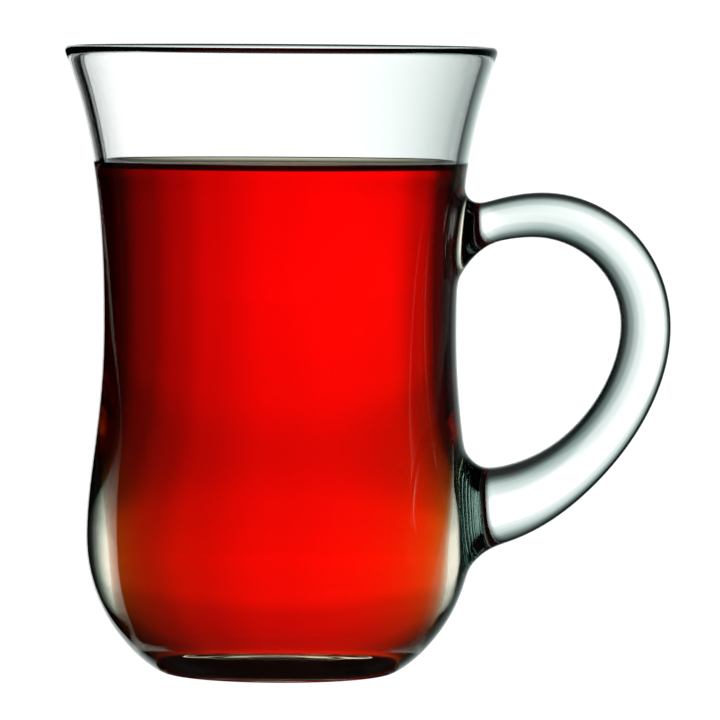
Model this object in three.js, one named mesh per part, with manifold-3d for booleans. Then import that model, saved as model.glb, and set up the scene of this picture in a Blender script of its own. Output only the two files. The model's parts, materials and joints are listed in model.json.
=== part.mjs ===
// A clear pressed tea glass with an ear handle, filled with tea.
// Millimetres, +Z up. The origin is the middle of the foot, and the handle points along +X.

import * as THREE from 'three';
import { LoftGeometry } from 'three/addons/geometries/LoftGeometry.js';
import { mergeVertices } from 'three/addons/utils/BufferGeometryUtils.js';
import Module from 'manifold-3d';

// Body of the glass: a round lower bulge, a slim waist and a flared, rounded lip.
const HEIGHT = 88;
const LIP_WALL = 1.7;
const RIM_RADIUS = 30.35;
const LIP_TILT = THREE.MathUtils.degToRad(20.7);
const FLARE_EASE = 12.5;
const LIP_EASE = 13.4;
const WAIST_RADIUS = 24.8;
const WAIST_HEIGHT = 48.5;
const WAIST_EASE = 13.2;
const BULGE_RADIUS = 27.1;
const BULGE_HEIGHT = 19.15;
const BULGE_EASE = 8.8;
const LOWER_ARC = 22.2;

// Foot: a stand ring and a centre disc in one plane, with a shallow groove between them.
const FOOT_RADIUS = 14.5;
const HEEL_LIFT = 1;
const GROOVE_OUTER = 12.1;
const GROOVE_INNER = 6;
const GROOVE_DEPTH = 0.7;

// Inside of the glass: a flat floor, a rounded corner and a straight cone that opens into the lip.
const FLOOR_HEIGHT = 6;
const CORNER_RUN = 4.2;
const CONE_LOW = new THREE.Vector2(18.2, 20);
const CONE_HIGH = new THREE.Vector2(23.3, 62);
const CONE_EASE = 9;

// Tea: its level, and how far it creeps up the wall.
const TEA_LEVEL = 71.1;
const CREEP_HEIGHT = 1.1;
const CREEP_WIDTH = 2.2;
const CLEARANCE = 0.3;

// Handle: the centre line of its upper arm, round end and long lower arm.
const UPPER_ROOT = new THREE.Vector2(24, 62.1);
const UPPER_ROOT_EASE = 0.7;
const HANDLE_TOP = new THREE.Vector2(36.1, 64.6);
const HANDLE_TOP_EASE = 4.7;
const HANDLE_SIDE = new THREE.Vector2(51.3, 49.1);
const HANDLE_SIDE_EASE = 11.7;
const LOWER_ROOT = new THREE.Vector2(25.65, 23.2);
const LOWER_ROOT_EASE = 13.7;

// Handle section: its thickness at even steps from the upper root to the lower one, its depth
// against that, and the power that makes its round slightly square (2 is a plain oval).
const HANDLE_THICKNESS = [5.4, 6.85, 7.2, 7.95, 11.6];
const DEPTH_RATIO = 1;
const SECTION_POWER = 2.5;

// Handle roots: the plain length of each inside the wall, and the rounded flares that run
// out of the wall from there, on the outer side of the ear and on the finger side.
const ROOT_LENGTH = 1;
const UPPER_OUTER_FLARE = { size: 5.4, reach: 4.4 };
const UPPER_INNER_FLARE = { size: 6.4, reach: 5.6 };
const LOWER_FLARE = { size: 4.4, reach: 3.8 };

// Fineness of the facets.
const CURVE_STEPS = 7;
const LIP_STEPS = 4;
const GLASS_SIDES = 48;
const TEA_SIDES = 40;
const HANDLE_STEPS = 46;
const HANDLE_SIDES = 16;

const wasm = await Module();
wasm.setup();

// The outside of the body, up from where the heel's small round meets the bulge.
const HEEL_ANGLE = -Math.asin((BULGE_HEIGHT - HEEL_LIFT) / LOWER_ARC);
const OUTSIDE = bodyCurve();

// The upright outline of the body, from low on the bulge to the lip.
function bodyCurve() {
  const curve = new THREE.Path();
  const lip = lipPoint(LIP_WALL / 2);
  const lipStart = lip.clone().addScaledVector(lipRise(), -LIP_EASE);
  curve.absarc(BULGE_RADIUS - LOWER_ARC, BULGE_HEIGHT, LOWER_ARC, HEEL_ANGLE, 0);
  curve.bezierCurveTo(
    BULGE_RADIUS, BULGE_HEIGHT + BULGE_EASE,
    WAIST_RADIUS, WAIST_HEIGHT - WAIST_EASE,
    WAIST_RADIUS, WAIST_HEIGHT,
  );
  curve.bezierCurveTo(
    WAIST_RADIUS, WAIST_HEIGHT + FLARE_EASE,
    lipStart.x, lipStart.y,
    lip.x, lip.y,
  );
  return curve;
}

// A point of the lip, measured out from the middle of the wall.
function lipPoint(outward) {
  const x = RIM_RADIUS - LIP_WALL / 2 + outward * Math.cos(LIP_TILT);
  const z = HEIGHT - LIP_WALL / 2 - outward * Math.sin(LIP_TILT);
  return new THREE.Vector2(x, z);
}

// The direction in which the wall rises at the lip.
function lipRise() {
  return new THREE.Vector2(Math.sin(LIP_TILT), Math.cos(LIP_TILT));
}

// The inside from the middle of the floor to the lip, set in by a clearance.
function innerCurve(clearance) {
  const rise = CONE_HIGH.clone().sub(CONE_LOW).normalize();
  const inward = new THREE.Vector2(-rise.y, rise.x);
  const low = CONE_LOW.clone().addScaledVector(inward, clearance);
  const high = CONE_HIGH.clone().addScaledVector(inward, clearance);
  const floor = FLOOR_HEIGHT + clearance;
  const corner = low.clone().addScaledVector(rise, (floor - low.y) / rise.y);
  const cornerEnd = corner.clone().addScaledVector(rise, CORNER_RUN);
  const lip = lipPoint(-LIP_WALL / 2 - clearance);
  const coneEnd = high.clone().addScaledVector(rise, CONE_EASE);
  const lipStart = lip.clone().addScaledVector(lipRise(), -CONE_EASE);
  const curve = new THREE.Path();
  curve.moveTo(0, floor);
  curve.lineTo(corner.x - CORNER_RUN, floor);
  curve.quadraticCurveTo(corner.x, corner.y, cornerEnd.x, cornerEnd.y);
  curve.lineTo(high.x, high.y);
  curve.bezierCurveTo(coneEnd.x, coneEnd.y, lipStart.x, lipStart.y, lip.x, lip.y);
  return curve;
}

// Half of a cut through the glass, from the middle of the foot round to the middle of the floor.
function glassProfile() {
  const outside = OUTSIDE.getPoints(CURVE_STEPS);
  const heelEnd = outside[0];
  const heelCorner = new THREE.Vector2(heelEnd.x + HEEL_LIFT * Math.tan(HEEL_ANGLE), 0);
  const heel = new THREE.QuadraticBezierCurve(new THREE.Vector2(FOOT_RADIUS, 0), heelCorner, heelEnd);
  const underside = [
    new THREE.Vector2(0, 0),
    new THREE.Vector2(GROOVE_INNER, 0),
    new THREE.Vector2(GROOVE_INNER + GROOVE_DEPTH, GROOVE_DEPTH),
    new THREE.Vector2(GROOVE_OUTER - GROOVE_DEPTH, GROOVE_DEPTH),
    new THREE.Vector2(GROOVE_OUTER, 0),
    ...heel.getPoints(LIP_STEPS).slice(0, -1),
  ];
  const lipCentre = lipPoint(0);
  const lip = new THREE.Path();
  lip.absarc(lipCentre.x, lipCentre.y, LIP_WALL / 2, -LIP_TILT, Math.PI - LIP_TILT);
  const inside = innerCurve(0).getPoints(CURVE_STEPS).reverse();
  return [...underside, ...outside, ...lip.getPoints(LIP_STEPS).slice(1, -1), ...inside];
}

// Half of a cut through the tea, a hair clear of the glass, with its edge drawn up the wall.
function teaProfile() {
  const side = innerCurve(CLEARANCE);
  const edgeHeight = TEA_LEVEL + CREEP_HEIGHT;
  const below = side.getPoints(CURVE_STEPS).filter((point) => point.y < edgeHeight);
  const edge = new THREE.Vector2(radiusAtHeight(side, edgeHeight), edgeHeight);
  const surface = new THREE.QuadraticBezierCurve(
    edge,
    new THREE.Vector2(edge.x - CREEP_WIDTH / 4, TEA_LEVEL),
    new THREE.Vector2(edge.x - CREEP_WIDTH, TEA_LEVEL),
  );
  return [
    ...below,
    ...surface.getPoints(CURVE_STEPS),
    new THREE.Vector2(0, TEA_LEVEL),
  ];
}

// The radius of a rising outline at a height, found by halving.
function radiusAtHeight(curve, height) {
  let low = 0;
  let high = 1;
  for (let turn = 0; turn < 40; turn += 1) {
    const middle = (low + high) / 2;
    if (curve.getPoint(middle).y < height) {
      low = middle;
    } else {
      high = middle;
    }
  }
  return curve.getPoint(low).x;
}

// A turned solid about the Z axis.
function turned(profile, sides) {
  return solidOf(new THREE.LatheGeometry(profile, sides).rotateX(Math.PI / 2));
}

// The handle's centre line in its upright plane, from inside the wall and back into it.
function handleLine() {
  const line = new THREE.Path();
  line.moveTo(UPPER_ROOT.x, UPPER_ROOT.y);
  line.bezierCurveTo(
    UPPER_ROOT.x + UPPER_ROOT_EASE, UPPER_ROOT.y,
    HANDLE_TOP.x - HANDLE_TOP_EASE, HANDLE_TOP.y,
    HANDLE_TOP.x, HANDLE_TOP.y,
  );
  line.absellipse(
    HANDLE_TOP.x, HANDLE_SIDE.y,
    HANDLE_SIDE.x - HANDLE_TOP.x, HANDLE_TOP.y - HANDLE_SIDE.y,
    Math.PI / 2, 0, true,
  );
  line.bezierCurveTo(
    HANDLE_SIDE.x, HANDLE_SIDE.y - HANDLE_SIDE_EASE,
    LOWER_ROOT.x + LOWER_ROOT_EASE, LOWER_ROOT.y,
    LOWER_ROOT.x, LOWER_ROOT.y,
  );
  return line;
}

// How far out the wall stands along +X, at a depth along Y and a height.
function wallReach(deep, height) {
  const radius = radiusAtHeight(OUTSIDE, height);
  return Math.sqrt(radius * radius - deep * deep);
}

// How near a point of the centre line is to its root: 1 in the root and 0 beyond the reach.
function nearness(distance, reach) {
  return Math.max(0, 1 - Math.max(0, distance - ROOT_LENGTH) / reach);
}

// How much a flare adds at a distance from the end of its root: a quarter of an ellipse.
function flare({ size, reach }, distance) {
  const near = nearness(distance, reach);
  return size * (1 - Math.sqrt(1 - near * near));
}

// A sine or cosine bent so that a round gets slightly flatter sides.
function squarish(share) {
  return Math.sign(share) * Math.abs(share) ** (2 / SECTION_POWER);
}

// A ring drawn together to one point, which closes the end of a root.
function endOfRoot(centre) {
  return new Array(HANDLE_SIDES).fill(new THREE.Vector3(centre.x, 0, centre.y));
}

// The handle: oval rings set across the centre line, closer together near the roots,
// where they also stand upright and wrap round the body.
function handle() {
  const line = handleLine();
  const length = line.getLength();
  const thickness = new THREE.SplineCurve(
    HANDLE_THICKNESS.map((value, index) => new THREE.Vector2(index, value)),
  );
  const rings = [endOfRoot(line.getPoint(0))];
  for (let step = 0; step <= HANDLE_STEPS; step += 1) {
    const along = (1 - Math.cos((Math.PI * step) / HANDLE_STEPS)) / 2;
    const fromUpper = along * length;
    const fromLower = length - fromUpper;
    const wrap = nearness(Math.min(fromUpper, fromLower), UPPER_INNER_FLARE.reach);
    const centre = line.getPointAt(along);
    const tangent = line.getTangentAt(along);
    tangent.lerp(new THREE.Vector2(Math.sign(tangent.x), 0), wrap).normalize();
    const half = thickness.getPoint(along).y / 2;
    const lowerFlare = flare(LOWER_FLARE, fromLower);
    const outerHalf = half + flare(UPPER_OUTER_FLARE, fromUpper) + lowerFlare;
    const innerHalf = half + flare(UPPER_INNER_FLARE, fromUpper) + lowerFlare;
    const depthHalf = (outerHalf + innerHalf) / 2 + half * (DEPTH_RATIO - 1);
    const ring = [];
    for (let side = 0; side < HANDLE_SIDES; side += 1) {
      const angle = (-2 * Math.PI * side) / HANDLE_SIDES;
      const across = (Math.cos(angle) > 0 ? outerHalf : innerHalf) * squarish(Math.cos(angle));
      const deep = depthHalf * squarish(Math.sin(angle));
      const height = centre.y + across * tangent.x;
      const bend = wrap * (wallReach(deep, height) - wallReach(0, centre.y));
      ring.push(new THREE.Vector3(centre.x - across * tangent.y + bend, deep, height));
    }
    rings.push(ring);
  }
  rings.push(endOfRoot(line.getPoint(1)));
  return solidOf(new LoftGeometry(rings));
}

// A closed surface as a solid that can be joined to another.
function solidOf(geometry) {
  const plain = new THREE.BufferGeometry().copy(geometry);
  plain.deleteAttribute('normal');
  plain.deleteAttribute('uv');
  const merged = mergeVertices(plain);
  const index = merged.getIndex().array;
  const triangles = [];
  for (let corner = 0; corner < index.length; corner += 3) {
    const [a, b, c] = index.slice(corner, corner + 3);
    if (a !== b && b !== c && c !== a) {
      triangles.push(a, b, c);
    }
  }
  return new wasm.Manifold(new wasm.Mesh({
    numProp: 3,
    vertProperties: new Float32Array(merged.getAttribute('position').array),
    triVerts: new Uint32Array(triangles),
  }));
}

// A named mesh of a solid in its own material.
function meshOf(name, solid, material) {
  const { vertProperties, triVerts } = solid.getMesh();
  const geometry = new THREE.BufferGeometry();
  geometry.setAttribute('position', new THREE.BufferAttribute(vertProperties, 3));
  geometry.setIndex(new THREE.BufferAttribute(triVerts, 1));
  geometry.computeVertexNormals();
  const mesh = new THREE.Mesh(geometry, material);
  mesh.name = name;
  return mesh;
}

const clearGlass = new THREE.MeshStandardMaterial({
  color: 0xe6efec,
  roughness: 0.04,
  metalness: 0,
  transparent: true,
  opacity: 0.35,
});
const redTea = new THREE.MeshStandardMaterial({
  color: 0xd0100a,
  roughness: 0.05,
  metalness: 0,
});

const teaGlass = new THREE.Group();
teaGlass.add(meshOf('glass', turned(glassProfile(), GLASS_SIDES).add(handle()), clearGlass));
teaGlass.add(meshOf('tea', turned(teaProfile(), TEA_SIDES), redTea));

export default teaGlass;
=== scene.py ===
# %% [markdown]
# # A tea glass with an ear handle
# The real thing is one piece of pressed clear glass: a round lower bulge, a slim waist,
# a flared lip, and a handle that was fused to the wall while hot. It is full of red tea.
# We load the measured solids first, so that every new piece lands in the same place.

# %% Load the frame
import json
import math

import bmesh
import bpy
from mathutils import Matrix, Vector
from mathutils.geometry import interpolate_bezier

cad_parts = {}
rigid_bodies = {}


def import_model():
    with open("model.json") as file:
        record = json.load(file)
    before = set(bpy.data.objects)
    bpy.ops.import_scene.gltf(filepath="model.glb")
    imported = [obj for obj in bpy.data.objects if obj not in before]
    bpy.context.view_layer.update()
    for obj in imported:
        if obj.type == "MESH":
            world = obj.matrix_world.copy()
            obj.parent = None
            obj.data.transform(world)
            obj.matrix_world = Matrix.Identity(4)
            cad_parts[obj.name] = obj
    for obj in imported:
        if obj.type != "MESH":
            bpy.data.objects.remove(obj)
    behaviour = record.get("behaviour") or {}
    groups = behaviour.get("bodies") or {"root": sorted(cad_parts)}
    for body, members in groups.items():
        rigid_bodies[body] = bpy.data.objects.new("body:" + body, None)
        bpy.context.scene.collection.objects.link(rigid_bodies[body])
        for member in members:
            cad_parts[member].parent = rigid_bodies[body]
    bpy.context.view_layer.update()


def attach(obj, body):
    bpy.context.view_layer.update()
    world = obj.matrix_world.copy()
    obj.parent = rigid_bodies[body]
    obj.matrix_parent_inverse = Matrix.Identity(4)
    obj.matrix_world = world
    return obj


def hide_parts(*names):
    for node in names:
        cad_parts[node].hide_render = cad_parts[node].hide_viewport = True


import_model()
MM = 0.001

# %% [markdown]
# ## The outline of the body
# A turned glass is fully told by half of a cut through its axis. The outside is an arc for
# the bulge and two Bezier curves, one to the waist and one to the lip. The inside is another
# form, which comes further down. Curves need few numbers, and each one can be measured.

# %% Body sizes and outline
HEIGHT = 88 * MM
LIP_WALL = 1.7 * MM
RIM_RADIUS = 30.35 * MM
LIP_TILT = math.radians(20.7)
FLARE_EASE = 12.5 * MM
LIP_EASE = 13.4 * MM
WAIST_RADIUS = 24.8 * MM
WAIST_HEIGHT = 48.5 * MM
WAIST_EASE = 13.2 * MM
BULGE_RADIUS = 27.1 * MM
BULGE_HEIGHT = 19.15 * MM
BULGE_EASE = 8.8 * MM
LOWER_ARC = 22.2 * MM
FINE_STEPS = 240
LIP_RISE = Vector((math.sin(LIP_TILT), math.cos(LIP_TILT)))


def lip_point(outward):
    """A point across the lip, measured out from the middle of the wall."""
    radius = RIM_RADIUS - LIP_WALL / 2 + outward * math.cos(LIP_TILT)
    return Vector((radius, HEIGHT - LIP_WALL / 2 - outward * math.sin(LIP_TILT)))


def arc(centre, radius, start, end, steps):
    """Points on a circle in the plane of the outline."""
    turns = [start + (end - start) * step / steps for step in range(steps + 1)]
    return [centre + radius * Vector((math.cos(turn), math.sin(turn))) for turn in turns]


def body_outline():
    """The outside from low on the bulge up to the lip."""
    low_arc = arc(Vector((BULGE_RADIUS - LOWER_ARC, BULGE_HEIGHT)), LOWER_ARC,
                  math.radians(-70), 0, FINE_STEPS)
    bulge = Vector((BULGE_RADIUS, BULGE_HEIGHT))
    waist = Vector((WAIST_RADIUS, WAIST_HEIGHT))
    lip = lip_point(LIP_WALL / 2)
    to_waist = interpolate_bezier(bulge, bulge + Vector((0, BULGE_EASE)),
                                  waist - Vector((0, WAIST_EASE)), waist, FINE_STEPS)
    to_lip = interpolate_bezier(waist, waist + Vector((0, FLARE_EASE)),
                                lip - LIP_EASE * LIP_RISE, lip, FINE_STEPS)
    return low_arc[:-1] + to_waist[:-1] + to_lip


def radius_at(outline, height):
    """The radius of an outline that rises all the way, at a height."""
    for below, above in zip(outline, outline[1:]):
        if above.y >= height:
            share = (height - below.y) / (above.y - below.y)
            return below.x + share * (above.x - below.x)
    return outline[-1].x


OUTSIDE = body_outline()
print("waist", round(radius_at(OUTSIDE, WAIST_HEIGHT) / MM, 2), "mm in radius outside")

# %% [markdown]
# ## Rows for the spin
# The body will be a spun mesh of rows and columns. The handle grows out of it later through
# two openings, so the rows are laid in bands: close together where the handle will join,
# wider in between. A Subdivision Surface modifier rounds everything at the end.

# %% Rows of the outer wall
HEEL_LIFT = 1 * MM
HEEL_ANGLE = -math.asin((BULGE_HEIGHT - HEEL_LIFT) / LOWER_ARC)
UPPER_PATCH = (54.2 * MM, 68.8 * MM)
LOWER_PATCH = (13.4 * MM, 32.6 * MM)
LIP_START = lip_point(LIP_WALL / 2).y


def even(start, end, steps):
    """Even steps from one value to another, without the last."""
    return [start + (end - start) * step / steps for step in range(steps)]


def wall_rows(outline, heights):
    """The points of an outline at these heights."""
    return [Vector((radius_at(outline, height), height)) for height in heights]


outer_heights = (
    even(HEEL_LIFT, 3.4 * MM, 3) + even(3.4 * MM, LOWER_PATCH[0], 5)
    + even(*LOWER_PATCH, 8) + even(LOWER_PATCH[1], UPPER_PATCH[0], 9)
    + even(*UPPER_PATCH, 10) + even(UPPER_PATCH[1], LIP_START, 8)
)
outer_rows = wall_rows(OUTSIDE, outer_heights)
print(len(outer_rows), "rows on the outer wall")

# %% [markdown]
# ## Foot, lip and inside
# The foot stands on a narrow ring, with a shallow groove inside it and a plain disc in the
# middle. The lip is a half circle. A plunger shaped the inside, and a plunger has to come out
# again, so the inside is a plain cone with a flat floor and a wide, soft corner. That leaves
# thick glass in the bulge, seen as clear bands beside the tea. Doubled rows keep the small
# edges of the foot crisp.

# %% Foot, lip and inner rows
FOOT_RADIUS = 14.5 * MM
GROOVE_OUTER = 12.1 * MM
GROOVE_INNER = 6 * MM
GROOVE_DEPTH = 0.7 * MM
EDGE = 0.25 * MM
FLOOR_HEIGHT = 6 * MM
CORNER_RUN = 4.2 * MM
CONE_LOW = Vector((18.2, 20)) * MM
CONE_HIGH = Vector((23.3, 62)) * MM
CONE_EASE = 9 * MM
CONE_RISE = (CONE_HIGH - CONE_LOW).normalized()
CONE_INWARD = Vector((-CONE_RISE.y, CONE_RISE.x))
CORNER_STEPS = 7
LIP_STEPS = 8


def quadratic(start, corner, end, steps):
    """Points on a curve that leaves start towards a corner and arrives at end from it."""
    return interpolate_bezier(start, start.lerp(corner, 2 / 3), end.lerp(corner, 2 / 3), end, steps + 1)


def floor_corner(inset):
    """The inside from its middle out along the floor and round the corner, raised by an inset."""
    floor = FLOOR_HEIGHT + inset
    low = CONE_LOW + inset * CONE_INWARD
    corner = low + CONE_RISE * (floor - low.y) / CONE_RISE.y
    start = corner - Vector((CORNER_RUN, 0))
    flat = [Vector((start.x * share, floor)) for share in (0, 0.25, 0.6)]
    return flat + quadratic(start, corner, corner + CORNER_RUN * CONE_RISE, CORNER_STEPS)


def inner_outline(inset):
    """The inside from the end of the corner up the cone to the lip, set in by an inset."""
    high = CONE_HIGH + inset * CONE_INWARD
    lip = lip_point(-LIP_WALL / 2 - inset)
    flare_out = interpolate_bezier(high, high + CONE_EASE * CONE_RISE,
                                   lip - CONE_EASE * LIP_RISE, lip, FINE_STEPS)
    return floor_corner(inset)[-1:] + flare_out


def foot_rows():
    """The underside from its middle out to the heel."""
    heel_end = outer_rows[0]
    heel_corner = Vector((heel_end.x + HEEL_LIFT * math.tan(HEEL_ANGLE), 0))
    disc = [Vector((GROOVE_INNER * share, 0)) for share in (0, 0.5)]
    groove = [
        Vector((GROOVE_INNER - EDGE, 0)),
        Vector((GROOVE_INNER + EDGE, EDGE)),
        Vector((GROOVE_INNER + GROOVE_DEPTH, GROOVE_DEPTH)),
        Vector((GROOVE_OUTER - GROOVE_DEPTH, GROOVE_DEPTH)),
        Vector((GROOVE_OUTER - EDGE, EDGE)),
        Vector((GROOVE_OUTER + EDGE, 0)),
    ]
    heel = quadratic(Vector((FOOT_RADIUS, 0)), heel_corner, heel_end, 3)
    return disc + groove + heel[:-1]


lip_rows = arc(lip_point(0), LIP_WALL / 2, -LIP_TILT, math.pi - LIP_TILT, LIP_STEPS)
corner_rows = floor_corner(0)
inner_heights = even(corner_rows[-1].y, lip_rows[-1].y, 32)[1:]
inner_rows = corner_rows + wall_rows(inner_outline(0), inner_heights)
glass_profile = foot_rows() + outer_rows + lip_rows + inner_rows[::-1]
print(len(glass_profile), "points in the outline of the glass")

# %% [markdown]
# ## Spin the body
# A wire of vertices in the XZ plane is spun once round the axis. `use_merge` joins the last
# column to the first. The two ends of the wire lie on the axis, where all columns share one
# point, so the doubles there are merged and the faces are turned outwards.

# %% Spin helper and the bare body
COLUMNS = 96
MERGE = 0.001 * MM


def spun(profile):
    """A closed turned mesh from half of its cut, as a bmesh."""
    mesh = bmesh.new()
    points = [mesh.verts.new((point.x, 0, point.y)) for point in profile]
    wire = [mesh.edges.new(pair) for pair in zip(points, points[1:])]
    bmesh.ops.spin(mesh, geom=points + wire, cent=(0, 0, 0), axis=(0, 0, 1),
                   angle=2 * math.pi, steps=COLUMNS, use_merge=True)
    bmesh.ops.remove_doubles(mesh, verts=mesh.verts, dist=MERGE)
    bmesh.ops.recalc_face_normals(mesh, faces=mesh.faces)
    return mesh


body = spun(glass_profile)
print("bare body:", len(body.faces), "faces")

# %% [markdown]
# ## Open the wall for the handle
# The handle isn't stuck on: glass flows from one into the other in a rounded fillet. So we
# cut a patch of faces out of the outer wall at each joint and grow the handle from its rim.
# Both patches have the same number of edges round them, 40, so quads run from one to the other.

# %% Cut the two patches
PATCH_COLUMNS = {"upper": 10, "lower": 12}
PATCH_HEIGHTS = {"upper": UPPER_PATCH, "lower": LOWER_PATCH}


def in_patch(face, name):
    """Whether a face of the body lies on the outer wall inside a joint's patch."""
    middle = face.calc_center_median()
    low, high = PATCH_HEIGHTS[name]
    half_turn = math.pi * PATCH_COLUMNS[name] / COLUMNS
    outside = middle.xy.length > radius_at(OUTSIDE, middle.z) - LIP_WALL / 2
    return outside and low < middle.z < high and abs(math.atan2(middle.y, middle.x)) < half_turn


patches = [face for face in body.faces if any(in_patch(face, name) for name in PATCH_HEIGHTS)]
bmesh.ops.delete(body, geom=patches, context="FACES")
rim_edges = [edge for edge in body.edges if edge.is_boundary]
print(len(patches), "faces cut,", len(rim_edges), "edges round the two openings")

# %% [markdown]
# ## The line and the section of the handle
# The ear runs out of the upper wall, over a quarter of an ellipse and back on one long curve.
# Its section is a slightly squared round that gets stouter downwards: flat sides let the card
# shine straight through, which gives the wide white core. Near each root it flares, by a
# quarter of an ellipse, so that it meets the wall almost flat.

# %% Handle line and sizes
UPPER_ROOT = Vector((24, 62.1)) * MM
UPPER_ROOT_EASE = Vector((0.7, 0)) * MM
HANDLE_TOP = Vector((36.1, 64.6)) * MM
HANDLE_TOP_EASE = Vector((4.7, 0)) * MM
HANDLE_SIDE = Vector((51.25, 49.1)) * MM
HANDLE_SIDE_EASE = Vector((0, 11.7)) * MM
LOWER_ROOT = Vector((25.65, 23.2)) * MM
LOWER_ROOT_EASE = Vector((13.7, 0)) * MM
HANDLE_THICKNESS = [5.4 * MM, 6.85 * MM, 7.2 * MM, 7.95 * MM, 11.6 * MM]
DEPTH_RATIO = 1.0
SECTION_POWER = 2.5

reach_x = HANDLE_SIDE.x - HANDLE_TOP.x
reach_z = HANDLE_TOP.y - HANDLE_SIDE.y
upper_arm = interpolate_bezier(UPPER_ROOT, UPPER_ROOT + UPPER_ROOT_EASE,
                               HANDLE_TOP - HANDLE_TOP_EASE, HANDLE_TOP, FINE_STEPS)
round_end = [Vector((HANDLE_TOP.x + reach_x * unit.y, HANDLE_SIDE.y + reach_z * unit.x))
             for unit in arc(Vector((0, 0)), 1, 0, math.pi / 2, FINE_STEPS)]
lower_arm = interpolate_bezier(HANDLE_SIDE, HANDLE_SIDE - HANDLE_SIDE_EASE,
                               LOWER_ROOT + LOWER_ROOT_EASE, LOWER_ROOT, FINE_STEPS)
handle_line = upper_arm[:-1] + round_end[:-1] + lower_arm
travel = [0.0]
for start, end in zip(handle_line, handle_line[1:]):
    travel.append(travel[-1] + (end - start).length)
handle_length = travel[-1]
print("handle", round(handle_length / MM, 1), "mm long on its centre line")

# %% [markdown]
# ## Place and thickness along the handle
# Every ring of the handle needs three answers: where the line is, which way it runs there and
# how thick the arm is. The thickness runs smoothly through five measured values.


# %% Ask the handle's line
def on_handle(distance):
    """The point of the handle's line at a distance from its upper root, and its direction there."""
    index = next(i for i, gone in enumerate(travel) if gone >= distance or gone == handle_length)
    index = max(index, 1)
    start, end = handle_line[index - 1], handle_line[index]
    share = (distance - travel[index - 1]) / (travel[index] - travel[index - 1])
    return start.lerp(end, share), (end - start).normalized()


def thickness_at(share):
    """A smooth run through the handle's thicknesses, from 0 at the upper root to 1 at the lower."""
    last = len(HANDLE_THICKNESS) - 1
    index = min(int(share * last), last - 1)
    step = share * last - index
    near = [min(max(place, 0), last) for place in range(index - 1, index + 3)]
    before, start, end, after = [HANDLE_THICKNESS[place] for place in near]
    pull_in = (end - before) / 2
    pull_out = (after - start) / 2
    bend = 2 * start - 2 * end + pull_in + pull_out
    swing = -3 * start + 3 * end - 2 * pull_in - pull_out
    return ((bend * step + swing) * step + pull_in) * step + start


print("thickness half way", round(thickness_at(0.5) / MM, 2), "mm")

# %% [markdown]
# ## Rings of the handle
# Each ring is a section set across the line. In the flares the outer side of the ear and the
# finger side open at their own rates, and the ring also bends round the body, so that the
# last ring lies exactly on the wall.

# %% Ring of points at any place on the handle
ROOT_LENGTH = 1 * MM
UPPER_OUTER_FLARE = (5.4 * MM, 4.4 * MM)
UPPER_INNER_FLARE = (6.4 * MM, 5.6 * MM)
LOWER_FLARE = (4.4 * MM, 3.8 * MM)
WRAP_REACH = 5.6 * MM
RING_POINTS = 40


def nearness(distance, reach):
    """1 in a root, 0 beyond the reach of its flare."""
    return max(0.0, 1 - max(0.0, distance - ROOT_LENGTH) / reach)


def flare(size_and_reach, distance):
    """What a flare adds to the section at a distance from the end of its root."""
    size, reach = size_and_reach
    return size * (1 - math.sqrt(1 - nearness(distance, reach) ** 2))


def squarish(share):
    """A sine or cosine bent so that a circle gets slightly flatter sides."""
    return math.copysign(abs(share) ** (2 / SECTION_POWER), share)


def wall_reach(deep, height):
    """How far out the wall stands along +X."""
    return math.sqrt(max(0.0, radius_at(OUTSIDE, height) ** 2 - deep ** 2))


def ring_at(distance, wrap=None):
    """The points of one ring, from the outer side of the ear round through +Y."""
    to_lower = handle_length - distance
    centre, along = on_handle(distance)
    if wrap is None:
        wrap = nearness(min(distance, to_lower), WRAP_REACH)
    along = along.lerp(Vector((math.copysign(1, along.x), 0)), wrap).normalized()
    half = thickness_at(distance / handle_length) / 2
    lower = flare(LOWER_FLARE, to_lower)
    outer = half + flare(UPPER_OUTER_FLARE, distance) + lower
    inner = half + flare(UPPER_INNER_FLARE, distance) + lower
    depth = (outer + inner) / 2 + half * (DEPTH_RATIO - 1)
    ring = []
    for point in range(RING_POINTS):
        turn = 2 * math.pi * point / RING_POINTS
        across = (outer if math.cos(turn) > 0 else inner) * squarish(math.cos(turn))
        deep = depth * squarish(math.sin(turn))
        height = centre.y + across * along.x
        bend = wrap * (wall_reach(deep, height) - wall_reach(0, centre.y))
        ring.append(Vector((centre.x - across * along.y + bend, deep, height)))
    return ring


def on_wall(ring):
    """The same ring laid onto the outer wall."""
    return [Vector((wall_reach(point.y, point.z), point.y, point.z)) for point in ring]


print(len(ring_at(handle_length / 2)), "points in each ring")

# %% [markdown]
# ## Round the two openings
# The cut patches are rectangles, and a handle grows out of a ring. We walk round each rim,
# move its points onto the flare's own ring, and let the rows around it relax sideways.
# After each relaxing step the points go back onto the wall, so the body stays perfectly round.

# %% Move the rims onto rings
RIM_SETBACK = 0.25 * MM
RELAX_ROUNDS = 24


def walk_rim(edges, start):
    """The vertices of one rim in order, from a start vertex towards +Y."""
    links = {}
    for edge in edges:
        for vertex in edge.verts:
            links.setdefault(vertex, []).append(edge.other_vert(vertex))
    order = [start, max(links[start], key=lambda vertex: vertex.co.y)]
    while len(order) < len(links):
        order.append(next(v for v in links[order[-1]] if v is not order[-2]))
    return order


def rim_of(name):
    """The rim of one opening, from its point on the outer side of the ear."""
    low, high = PATCH_HEIGHTS[name]
    slack = 0.1 * MM
    edges = [e for e in rim_edges if all(low - slack < v.co.z < high + slack for v in e.verts)]
    vertices = {vertex for edge in edges for vertex in edge.verts}
    middle = [vertex for vertex in vertices if abs(vertex.co.y) < slack]
    outermost = max if name == "upper" else min
    return walk_rim(edges, outermost(middle, key=lambda vertex: vertex.co.z))


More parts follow.
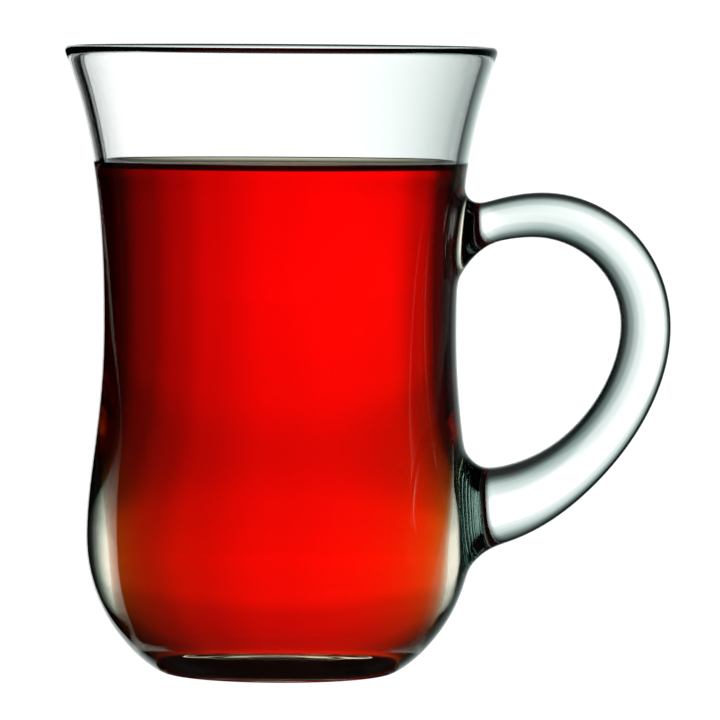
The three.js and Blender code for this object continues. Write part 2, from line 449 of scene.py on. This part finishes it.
upper_start = ROOT_LENGTH + RIM_SETBACK
lower_start = handle_length - ROOT_LENGTH - RIM_SETBACK
rims = {"upper": rim_of("upper"), "lower": rim_of("lower")}
for name, distance in (("upper", upper_start), ("lower", lower_start)):
    for vertex, place in zip(rims[name], on_wall(ring_at(distance))):
        vertex.co = place

fixed = {vertex for rim in rims.values() for vertex in rim}
around = set(fixed)
for ring_step in range(4):
    around |= {edge.other_vert(vertex) for vertex in around for edge in vertex.link_edges}
loose = [vertex for vertex in around - fixed if vertex.co.x > 0]
for relaxing in range(RELAX_ROUNDS):
    bmesh.ops.smooth_vert(body, verts=loose, factor=0.5,
                          use_axis_x=True, use_axis_y=True, use_axis_z=True)
    for vertex in loose:
        vertex.co.xy *= radius_at(OUTSIDE, vertex.co.z) / vertex.co.xy.length
print("rims:", {name: len(rim) for name, rim in rims.items()}, len(loose), "points relaxed")

# %% [markdown]
# ## Grow the handle
# The rim of the upper opening is extruded ring by ring along the line. The rings stand close
# together in the flares and further apart on the plain arm. Bridging the last ring to the
# lower opening closes the glass into one body.

# %% Extrude and bridge
FLARE_STEPS = [0.7 * MM, 1.4 * MM, 2.3 * MM, 3.4 * MM, 4.7 * MM, 6.2 * MM]
PLAIN_RINGS = 34

first_plain = ROOT_LENGTH + FLARE_STEPS[-1]
last_plain = handle_length - first_plain
distances = [ROOT_LENGTH + step for step in FLARE_STEPS[:-1]]
distances += even(first_plain, last_plain, PLAIN_RINGS) + [last_plain]
distances += [handle_length - ROOT_LENGTH - step for step in FLARE_STEPS[-2::-1]]


def edges_round(loop):
    """The edges that join a closed loop of vertices."""
    around_loop = zip(loop, loop[1:] + loop[:1])
    return [next(e for e in a.link_edges if e.other_vert(a) is b) for a, b in around_loop]


loop = rims["upper"]
for distance in distances:
    edges = edges_round(loop)
    grown = bmesh.ops.extrude_edge_only(body, edges=edges)["geom"]
    new_points = {item for item in grown if isinstance(item, bmesh.types.BMVert)}
    loop = [next(e.other_vert(v) for e in v.link_edges if e.other_vert(v) in new_points) for v in loop]
    for vertex, place in zip(loop, ring_at(distance)):
        vertex.co = place
bmesh.ops.bridge_loops(body, edges=edges_round(loop) + edges_round(rims["lower"]))
bmesh.ops.recalc_face_normals(body, faces=body.faces)
open_edges = [edge for edge in body.edges if not edge.is_manifold]
print("glass:", len(body.faces), "faces,", len(distances), "handle rings,", len(open_edges), "open edges")

# %% [markdown]
# ## Finish the glass
# The bmesh becomes an object at the origin, shaded smooth. One level of Subdivision Surface
# rounds the fillets and gives the light enough facets to bend through cleanly.


# %% Object helper and the glass
def finished(mesh, name):
    """A smooth, subdivided object from a bmesh."""
    data = bpy.data.meshes.new(name)
    for face in mesh.faces:
        face.smooth = True
    mesh.to_mesh(data)
    mesh.free()
    piece = bpy.data.objects.new(name, data)
    bpy.context.scene.collection.objects.link(piece)
    rounding = piece.modifiers.new("rounding", "SUBSURF")
    rounding.levels = 1
    rounding.render_levels = 1
    return piece


glass = finished(body, "tea_glass")
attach(glass, "root")
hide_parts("glass")
print("made", glass.name)

# %% [markdown]
# ## The tea
# The tea is a solid of its own, spun like the glass. Its sides reach a tenth of a millimetre
# into the wall: if they only touched, a film of air would show as a silvery skin. At the top
# it creeps up the glass in a small curve, which the photograph shows as a dark line.

# %% Spin the tea
SINK = 0.1 * MM
TEA_LEVEL = 71.1 * MM
CREEP_HEIGHT = 1.1 * MM
CREEP_WIDTH = 2.8 * MM
CREEP_STEPS = 8

tea_corner = floor_corner(-SINK)
tea_side = inner_outline(-SINK)
edge_height = TEA_LEVEL + CREEP_HEIGHT
edge_radius = radius_at(tea_side, edge_height)
tea_rows = tea_corner + wall_rows(tea_side, even(tea_corner[-1].y, edge_height, 26)[1:])
creep = quadratic(Vector((edge_radius, edge_height)), Vector((edge_radius - CREEP_WIDTH / 3, TEA_LEVEL)),
                  Vector((edge_radius - CREEP_WIDTH, TEA_LEVEL)), CREEP_STEPS)
surface = [Vector((creep[-1].x * share, TEA_LEVEL)) for share in (0.9, 0.6, 0.3, 0)]
tea = finished(spun(tea_rows + creep + surface), "tea_fill")
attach(tea, "root")
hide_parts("tea")
print("made", tea.name, "up to", round(edge_height / MM, 2), "mm")

# %% [markdown]
# ## Shader sums
# Node trees are easier to read as sums. This small class holds one socket; adding or
# multiplying it places the Math node, and `node` places any other kind.


# %% A socket that can be added and multiplied
class Shade:
    """One socket of a material's nodes, for shader maths in plain Python."""

    def __init__(self, tree, socket=None):
        self.tree = tree
        self.socket = socket

    def node(self, kind, settings, values, output=0):
        """Adds a node, sets it up, feeds its sockets and gives one of its outputs."""
        made = self.tree.nodes.new(kind)
        for name, setting in settings.items():
            setattr(made, name, setting)
        for name, value in values.items():
            if isinstance(value, Shade):
                self.tree.links.new(value.socket, made.inputs[name])
            else:
                made.inputs[name].default_value = value
        return Shade(self.tree, made.outputs[output])

    def math(self, operation, first, second):
        return self.node("ShaderNodeMath", {"operation": operation}, {0: first, 1: second})

    def __add__(self, other):
        return self.math("ADD", self, other)

    __radd__ = __add__

    def __mul__(self, other):
        return self.math("MULTIPLY", self, other)

    __rmul__ = __mul__

    def __sub__(self, other):
        return self.math("SUBTRACT", self, other)

    def __rsub__(self, other):
        return self.math("SUBTRACT", other, self)


def new_material(name):
    """An empty material, its node tree and its output node."""
    material = bpy.data.materials.new(name)
    material.use_nodes = True
    material.node_tree.nodes.clear()
    output = material.node_tree.nodes.new("ShaderNodeOutputMaterial")
    return material, Shade(material.node_tree), output


print("shader sums ready:", Shade.__name__)

# %% [markdown]
# ## Clear pressed glass
# Soda glass bends light by 1.5 and is very slightly green where the light runs a long way
# through it, so the colour sits in the volume and not on the surface. Pressing leaves a faint
# waviness and a skin that isn't equally bright everywhere: two noises give those.

# %% Glass material
GLASS_IOR = 1.5
WAVE_SCALE = 130.0
WAVE_HEIGHT = 0.004 * MM
WAVE_STRENGTH = 0.15
HAZE_SCALE = 900.0
HAZE_ROUGHNESS = 0.02
GLASS_SKIN = (0.985, 0.995, 0.99, 1)
GLASS_PASSES = (0.4, 0.66, 0.58, 1)
GLASS_DENSITY = 10.0

pressed_glass, shade, output = new_material("pressed_glass")
place = shade.node("ShaderNodeTexCoord", {}, {}, "Object")
waves = shade.node("ShaderNodeTexNoise", {}, {"Vector": place, "Scale": WAVE_SCALE, "Detail": 2.0})
haze = shade.node("ShaderNodeTexNoise", {}, {"Vector": place, "Scale": HAZE_SCALE, "Detail": 4.0})
wavy = shade.node("ShaderNodeBump", {},
                  {"Height": waves, "Strength": WAVE_STRENGTH, "Distance": WAVE_HEIGHT}, "Normal")
clear = shade.node(
    "ShaderNodeBsdfPrincipled", {},
    {"Base Color": GLASS_SKIN, "Transmission Weight": 1.0, "IOR": GLASS_IOR,
     "Roughness": haze * HAZE_ROUGHNESS, "Normal": wavy},
)
depth_tint = shade.node("ShaderNodeVolumeAbsorption", {},
                        {"Color": GLASS_PASSES, "Density": GLASS_DENSITY})
shade.tree.links.new(clear.socket, output.inputs["Surface"])
shade.tree.links.new(depth_tint.socket, output.inputs["Volume"])
glass.data.materials.append(pressed_glass)
print("finish:", pressed_glass.name)

# %% [markdown]
# ## Red tea
# Tea is clear too: what makes it red is the way through it. Absorption lets red pass, takes
# most of the green and all of the blue, so thin edges turn orange and the middle stays red.

# %% Tea material
TEA_IOR = 1.333
TEA_DENSITY = 400.0
TEA_PASSES = (0.9972, 0.57, 0.0, 1)
TEA_SKIN = (1.0, 0.9, 0.8, 1)
MOTE_SCALE = 400.0
MOTE_ROUGHNESS = 0.012

red_tea, shade, output = new_material("red_tea")
place = shade.node("ShaderNodeTexCoord", {}, {}, "Object")
motes = shade.node("ShaderNodeTexNoise", {}, {"Vector": place, "Scale": MOTE_SCALE, "Detail": 3.0})
brewed = shade.node(
    "ShaderNodeBsdfPrincipled", {},
    {"Base Color": TEA_SKIN, "Transmission Weight": 1.0, "IOR": TEA_IOR,
     "Roughness": motes * MOTE_ROUGHNESS},
)
strength = shade.node("ShaderNodeVolumeAbsorption", {}, {"Color": TEA_PASSES, "Density": TEA_DENSITY})
shade.tree.links.new(brewed.socket, output.inputs["Surface"])
shade.tree.links.new(strength.socket, output.inputs["Volume"])
tea.data.materials.append(red_tea)
print("finish:", red_tea.name)

# %% [markdown]
# ## The camera
# The photograph was taken from a little above the lip with a long lens, which is why the rim
# and the tea look almost flat. The whole field is about 101 mm wide at the glass.

# %% Camera
AIM = Vector((11.3, 0, 44.1)) * MM
DISTANCE = 1.078
ELEVATION = math.radians(2.9)
ROLL = math.radians(0.35)
FIELD = 100.8 * MM

camera_data = bpy.data.cameras.new("camera")
camera = bpy.data.objects.new("camera", camera_data)
bpy.context.scene.collection.objects.link(camera)
toward_camera = Vector((0, -math.cos(ELEVATION), math.sin(ELEVATION)))
camera.location = AIM + DISTANCE * toward_camera
camera.rotation_euler = (math.pi / 2 - ELEVATION, 0, 0)
camera.rotation_euler.rotate_axis("Z", ROLL)
camera_data.lens = camera_data.sensor_width * DISTANCE / FIELD
camera_data.clip_end = 20
bpy.context.scene.camera = camera
print("lens", round(camera_data.lens), "mm")

# %% [markdown]
# ## Studio cards
# Clear glass has no colour of its own, so it is lit from behind: a bright card in a dark room.
# The middle of the glass then shows the card and its edges show the dark. All studio pieces
# are flat cards, and most hang on the camera, as if the glass stood on a turntable.

# %% Card helper and the card behind
CARD_BEHIND = 0.75
CARD_WIDTH = 2.4
CARD_HEIGHT = 1.6


def card(name, width, height):
    """A flat card in its own XY plane."""
    mesh = bmesh.new()
    bmesh.ops.create_grid(mesh, x_segments=1, y_segments=1, size=0.5)
    bmesh.ops.scale(mesh, verts=mesh.verts, vec=(width, height, 1))
    data = bpy.data.meshes.new(name)
    mesh.to_mesh(data)
    mesh.free()
    made = bpy.data.objects.new(name, data)
    bpy.context.scene.collection.objects.link(made)
    return made


backdrop = card("backdrop", CARD_WIDTH, CARD_HEIGHT)
backdrop.parent = camera
backdrop.location = (-AIM.x, 0, -DISTANCE - CARD_BEHIND)
print(backdrop.name, CARD_WIDTH, "by", CARD_HEIGHT, "m")

# %% [markdown]
# ## White paper to the camera
# The photograph has a pure white ground all round. The card and the table have to be uneven to
# shape the glass, so the camera itself is shown plain white, and only light that went through
# or off the glass meets the real finish. A Light Path node tells the two apart.

# %% White ground helper
PAPER_WHITE = 1.1
PAPER_SHARE = 0.95


def white_to_camera(shade, finish):
    """A finish that the camera sees as white paper and the glass as it is."""
    ray = shade.node("ShaderNodeLightPath", {}, {}, "Is Camera Ray")
    white = shade.node("ShaderNodeEmission", {}, {"Color": (1, 1, 1, 1), "Strength": PAPER_WHITE})
    return shade.node("ShaderNodeMixShader", {}, {0: ray * PAPER_SHARE, 1: finish, 2: white})


print("white ground", PAPER_WHITE)

# %% [markdown]
# ## Fading light
# A soft box is brightest near its middle and fades to all sides. Rings and edges of glass bend
# light by known angles, so the fading is written down by angle, as seen from the glass. Two
# colour ramps, one across and one upwards, are multiplied. The light also turns slightly green
# as it fades, the tint that the edges of the handle show.

# %% Light of the card behind
CARD_GLOW = 1.48
CARD_STOPS = [
    (-45, 0.01), (-36, 0.09), (-27, 0.56), (-18, 0.95), (-8, 1.0), (0, 0.92),
    (9.4, 0.67), (15, 0.445), (22.5, 0.225), (35, 0.04), (45, 0.01),
]
RISE_STOPS = [
    (-45, 0.03), (-37, 0.09), (-29, 0.2), (-24, 0.37), (-19.5, 0.54), (-13, 0.68), (-7, 0.95),
    (0, 1.0),
    (7, 0.95), (13, 0.68), (19.5, 0.54), (24, 0.37), (29, 0.2), (37, 0.09), (45, 0.03),
]
FADE_RED = 0.76
FADE_BLUE = 0.95


def faded(bright):
    """The colour of the light at a brightness, greener as it gets weaker."""
    red = FADE_RED + (1 - FADE_RED) * bright
    blue = FADE_BLUE + (1 - FADE_BLUE) * bright
    return (bright * red, bright, bright * blue, 1)


def falloff(shade, along, angle_stops, size):
    """A ramp across the card, from brightness at angles seen from the glass."""
    ramp = shade.node("ShaderNodeValToRGB", {}, {"Fac": along}, "Color")
    stops = ramp.socket.node.color_ramp
    stops.interpolation = "EASE"
    for index, (angle, bright) in enumerate(angle_stops):
        position = CARD_BEHIND * math.tan(math.radians(angle)) / size + 0.5
        stop = stops.elements[index] if index < 2 else stops.elements.new(position)
        stop.position = position
        stop.color = faded(bright)
    return ramp


glow, shade, output = new_material("backdrop_glow")
place = shade.node("ShaderNodeTexCoord", {}, {}, "Object")
sideways = shade.node("ShaderNodeSeparateXYZ", {}, {"Vector": place}, "X")
upright = shade.node("ShaderNodeSeparateXYZ", {}, {"Vector": place}, "Y")
across = falloff(shade, sideways * (1 / CARD_WIDTH) + 0.5, CARD_STOPS, CARD_WIDTH)
rise = falloff(shade, upright * (1 / CARD_HEIGHT) + 0.5, RISE_STOPS, CARD_HEIGHT)
both = shade.node("ShaderNodeMix", {"data_type": "RGBA", "blend_type": "MULTIPLY"},
                  {0: 1.0, 6: across, 7: rise}, 2)
light = shade.node("ShaderNodeEmission", {}, {"Color": both, "Strength": CARD_GLOW})
shade.tree.links.new(white_to_camera(shade, light).socket, output.inputs["Surface"])
backdrop.data.materials.append(glow)
print("light:", len(CARD_STOPS), "stops across,", len(RISE_STOPS), "upwards")

# %% [markdown]
# ## The table
# The glass stands on a glossy white sheet. Seen at a low angle such a sheet is a mirror and
# carries the card's light up into the foot; seen from above it is matt. Layer Weight blends
# the two by the angle.

# %% Table top
TABLE_SIZE = 8
GRAZING_FROM = 0.3
GRAZING_TO = 0.6
MATT_WHITE = (0.85, 0.85, 0.85, 1)
POLISH_WHITE = (0.97, 0.97, 0.97, 1)
POLISH_ROUGHNESS = 0.03

floor = card("floor", TABLE_SIZE, TABLE_SIZE)
table_top, shade, output = new_material("table_top")
facing = shade.node("ShaderNodeLayerWeight", {}, {"Blend": 0.5}, "Facing")
grazing = shade.node("ShaderNodeMapRange", {"interpolation_type": "SMOOTHSTEP"},
                     {"Value": facing, "From Min": GRAZING_FROM, "From Max": GRAZING_TO})
matt = shade.node("ShaderNodeBsdfDiffuse", {}, {"Color": MATT_WHITE})
polish = shade.node("ShaderNodeBsdfAnisotropic", {},
                    {"Color": POLISH_WHITE, "Roughness": POLISH_ROUGHNESS})
table = shade.node("ShaderNodeMixShader", {}, {0: grazing, 1: matt, 2: polish})
shade.tree.links.new(white_to_camera(shade, table).socket, output.inputs["Surface"])
floor.data.materials.append(table_top)
print("finish:", table_top.name)

# %% [markdown]
# ## A black flag
# Photographers stand a black card just outside the picture to draw a dark line along the edge
# of clear glass. Here it stands at the left, edge on to the camera. It is short, because a long
# one would show as a hard step in the tea.

# %% Flag at the left
FLAG_HEIGHT = 0.3
FLAG_DEPTH = 0.055
FLAG_ASIDE = 0.0475
FLAG_BEHIND = 0.0325
FELT_BLACK = (0.003, 0.003, 0.003, 1)

flag = card("flag", FLAG_HEIGHT, FLAG_DEPTH)
flag.parent = camera
flag.rotation_euler = (math.pi / 2, 0, math.pi / 2)
flag.location = (-AIM.x - FLAG_ASIDE, 0, -DISTANCE - FLAG_BEHIND)
black, shade, output = new_material("black_card")
felt = shade.node("ShaderNodeBsdfDiffuse", {}, {"Color": FELT_BLACK})
shade.tree.links.new(felt.socket, output.inputs["Surface"])
flag.data.materials.append(black)
print("flag", round(FLAG_ASIDE / MM, 1), "mm to the left of the axis")

# %% [markdown]
# ## Lamp, dark room and light paths
# A weak lamp under the camera lifts the front a little, and the glass throws no shadow on the
# white ground. The room is nearly black, which makes the dark outlines. Light crosses many
# walls of glass before it gets out, so many bounces are allowed and none is blurred.

# %% Lamp and room
LAMP_SIZE = 0.1
LAMP_WATTS = 1.0
LAMP_SPREAD = math.radians(25)
LAMP_BELOW = 0.16
ROOM_GREY = 0.008

lamp_data = bpy.data.lights.new("camera_light", "AREA")
lamp_data.shape = "DISK"
lamp_data.size = LAMP_SIZE
lamp_data.energy = LAMP_WATTS
lamp_data.spread = LAMP_SPREAD
lamp = bpy.data.objects.new("camera_light", lamp_data)
bpy.context.scene.collection.objects.link(lamp)
lamp.parent = camera
lamp.location.y = -LAMP_BELOW
lamp.visible_glossy = False
lamp.visible_transmission = False
glass.visible_shadow = False
tea.visible_shadow = False

room = bpy.data.worlds.new("dark_room")
room.use_nodes = True
room_light = room.node_tree.nodes["Background"].inputs["Color"]
room_light.default_value = (ROOM_GREY, ROOM_GREY, ROOM_GREY, 1)
scene = bpy.context.scene
scene.world = room
scene.view_settings.view_transform = "Standard"
scene.cycles.max_bounces = 32
scene.cycles.transmission_bounces = 32
scene.cycles.glossy_bounces = 12
scene.cycles.diffuse_bounces = 2
scene.cycles.blur_glossy = 0
print("studio set,", scene.cycles.max_bounces, "bounces")
